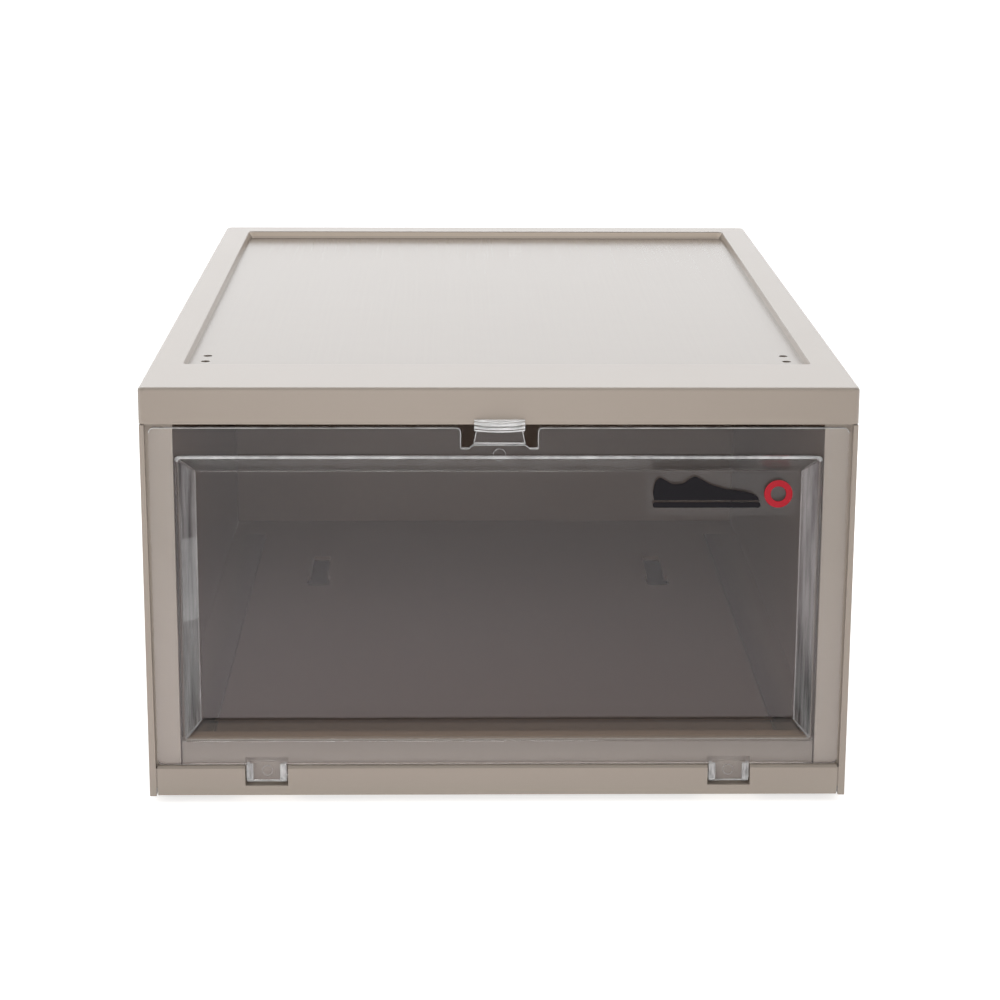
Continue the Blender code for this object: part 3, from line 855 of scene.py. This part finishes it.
def make_flag():
    """A flag that only reflections see: bright near the box, darker away from it and to the right."""
    material, tree, shader, _ = new_material("flag_grey")
    shader.inputs["Base Color"].default_value = (0.02, 0.02, 0.02, 1.0)
    shader.inputs["Roughness"].default_value = 1.0
    shader.inputs["Specular IOR Level"].default_value = 0.0
    shader.inputs["Emission Color"].default_value = (*FLAG_TINT, 1.0)
    x, y, _ = axis_parts(tree)
    across = remap(tree, x, -0.13, 0.13, 1.12, 0.7)
    along = remap(tree, y, FRONT - 0.36, FRONT - 0.12, FLAG_FAR, FLAG_NEAR, smooth=True)
    tree.links.new(product(tree, across, along), shader.inputs["Emission Strength"])
    near = FRONT - FLAG_GAP
    flag = flat_sheet("flag", FLAG_REACH, near - FLAG_LENGTH, near, FLAG_HEIGHT, material)
    flag.visible_camera = False
    flag.visible_diffuse = False
    flag.visible_shadow = False
    flag.visible_transmission = False
    return flag


def make_stage():
    floor = make_floor()
    flag = make_flag()


def make_world():
    """White surroundings, brightest where the backdrop stands behind the box."""
    world = bpy.data.worlds.new("studio")
    bpy.context.scene.world = world
    world.use_nodes = True
    tree = world.node_tree
    background = tree.nodes["Background"]
    coordinates = tree.nodes.new("ShaderNodeTexCoord")
    separate = tree.nodes.new("ShaderNodeSeparateXYZ")
    tree.links.new(coordinates.outputs["Generated"], separate.inputs["Vector"])
    x, y, z = (separate.outputs[axis] for axis in "XYZ")
    across = remap(tree, x, -0.5, 0.5, 1.12, 0.87)
    upward = remap(tree, z, 0.22, 0.42, 0.56, 1.32)
    behind = product(tree, remap(tree, y, 0.35, 0.95, 0.0, BACKDROP, smooth=True), across, upward)
    beside = remap(tree, maths(tree, "ABSOLUTE", x), 0.4, 0.95, 0.0, SIDE_WALLS, smooth=True)
    overhead = remap(tree, z, 0.75, 0.97, 0.0, OVERHEAD, smooth=True)
    around = maths(tree, "ADD", behind, beside)
    around = maths(tree, "ADD", around, maths(tree, "ADD", overhead, SURROUNDINGS))
    # The camera itself sees plain white past the floor's end.
    path = tree.nodes.new("ShaderNodeLightPath")
    seen = maths(tree, "MAXIMUM", around, product(tree, path.outputs["Is Camera Ray"], 1.1))
    tree.links.new(seen, background.inputs["Strength"])
    background.inputs["Color"].default_value = (1.0, 1.0, 1.0, 1.0)


def area_light(name, location, target, size, power):
    light = bpy.data.lights.new(name, "AREA")
    light.shape = "RECTANGLE"
    light.size, light.size_y = size
    light.energy = power
    obj = bpy.data.objects.new(name, light)
    bpy.context.scene.collection.objects.link(obj)
    obj.location = location
    obj.rotation_mode = "QUATERNION"
    obj.rotation_quaternion = (Vector(target) - Vector(location)).to_track_quat("-Z", "Y")
    return obj


def make_lights():
    """A large soft key light from the front, and a small fill light that reflections don't show."""
    area_light("key", place(-350, -1500, 900), place(0, 0, 60), (1.4, 1.0), 1.5)
    fill = area_light("fill", place(-40, -380, 165), place(0, 0, 90), (0.2, 0.15), 0.125)
    fill.data.spread = math.radians(80)
    fill.visible_camera = False
    fill.visible_glossy = False


def make_camera():
    """The camera stands a little left of the middle, about 0.8 m off, and looks down by 14 degrees."""
    yaw, pitch, roll = (math.radians(angle) for angle in (1.115, 14.386, -0.2535))
    level = Vector((math.sin(yaw), math.cos(yaw), 0))
    forward = math.cos(pitch) * level - math.sin(pitch) * Vector((0, 0, 1))
    right = Vector((math.cos(yaw), -math.sin(yaw), 0))
    down = forward.cross(right)
    turned_right = math.cos(roll) * right + math.sin(roll) * down
    turned_down = -math.sin(roll) * right + math.cos(roll) * down
    data = bpy.data.cameras.new("camera")
    data.sensor_width = 36.0
    data.lens = 94.165
    camera = bpy.data.objects.new("camera", data)
    bpy.context.scene.collection.objects.link(camera)
    axes = Matrix((turned_right, -turned_down, -forward)).transposed()
    camera.matrix_world = Matrix.Translation(place(-15.58, -812.83, 309.30)) @ axes.to_4x4()
    bpy.context.scene.camera = camera


def finish_case():
    """The case's panels are the CAD's own, softened and given their materials."""
    dress("base_panel", taupe_plastic("taupe_base_painted_shade", painted_shading_masks=(rail_painted_shade,)))
    sides = taupe_plastic("taupe_sides_painted_shade", painted_shading_masks=(foot_painted_shade,))
    dress("left_side_panel", sides)
    dress("right_side_panel", sides)
    dress("back_panel", taupe_plastic("taupe"))
    recess = (recess_floor_painted_shade, recess_step_painted_light)
    dress("top_cover", taupe_plastic("taupe_cover_painted_light_and_shade", roughness=0.25, painted_shading_masks=recess, polished_floor=True))
    for name in CASE_PANELS:
        soften(name)
    # The snap ribs get a copy of the taupe at 0.85 tone: painted shade for the joints.
    make_seams(taupe_plastic("taupe_painted_shade", tone=0.85))


def make_clear_pieces():
    """The door with its marks, and the latch."""
    clear = clear_plastic("clear")
    # Pale plastics with painted light: highlights on edges, tabs and grip, streaks on the side slopes, a
    # lighter top slope and fine mitres.
    bright = painted_light_plastic("clear_edge_painted_highlight", 0.5, 0.5, 0.97, 160.0)
    streaked = painted_light_plastic("clear_streaked_painted_light", 0.85, 0.05, 1.0, 420.0, stretch=(1.0, 1.0, 0.05))
    pane = clear_plastic("clear_pane", lamp_tint=(0.66, 0.54, 0.48))
    top_slope = painted_light_plastic("clear_slope_painted_light", 0.965, 0.85, 0.97, 80.0)
    tab = painted_light_plastic("clear_tab_painted_highlight", 0.6, 0.3, 0.99, 900.0, stretch=(1.0, 1.0, 0.25))
    fine = painted_light_plastic("clear_fine_painted_light", 0.78, 0.6, 0.97, 160.0)
    # The foot slope is tinted brown and darker than the rest of the clear plastic: painted shade on what is
    # seen through it.
    foot_slope = clear_plastic("clear_foot_slope_painted_shade", tint=(0.9, 0.72, 0.58))
    make_door([clear, bright, streaked, pane, top_slope, tab, fine, foot_slope])
    make_latch([clear, painted_light_plastic("clear_grip_painted_highlight", 0.35, 0.6, 0.99, 240.0)])
    # The ejector marks use the pale plastic with painted light.
    ejector_ring("ejector_mark_top", 0.0, 0.0, 115.7, 2.0, fine)
    for side, name in ((-1, "left"), (1, "right")):
        ejector_ring("ejector_mark_" + name, side * TAB_MARK, 0.6, 8.9, 1.7, fine)


def make_label_and_tape():
    charcoal = print_ink("ink_charcoal", (0.006, 0.006, 0.008))
    red = print_ink("ink_red", (0.36, 0.006, 0.016))
    make_label(clear_film("label_film", 0.01), charcoal, red)
    make_tape(clear_film("tape_film", 0.08))


def main():
    make_camera()
    make_stage()
    make_world()
    make_lights()
    bpy.context.scene.view_settings.view_transform = "Standard"
    finish_case()
    make_clear_pieces()
    make_label_and_tape()


main()
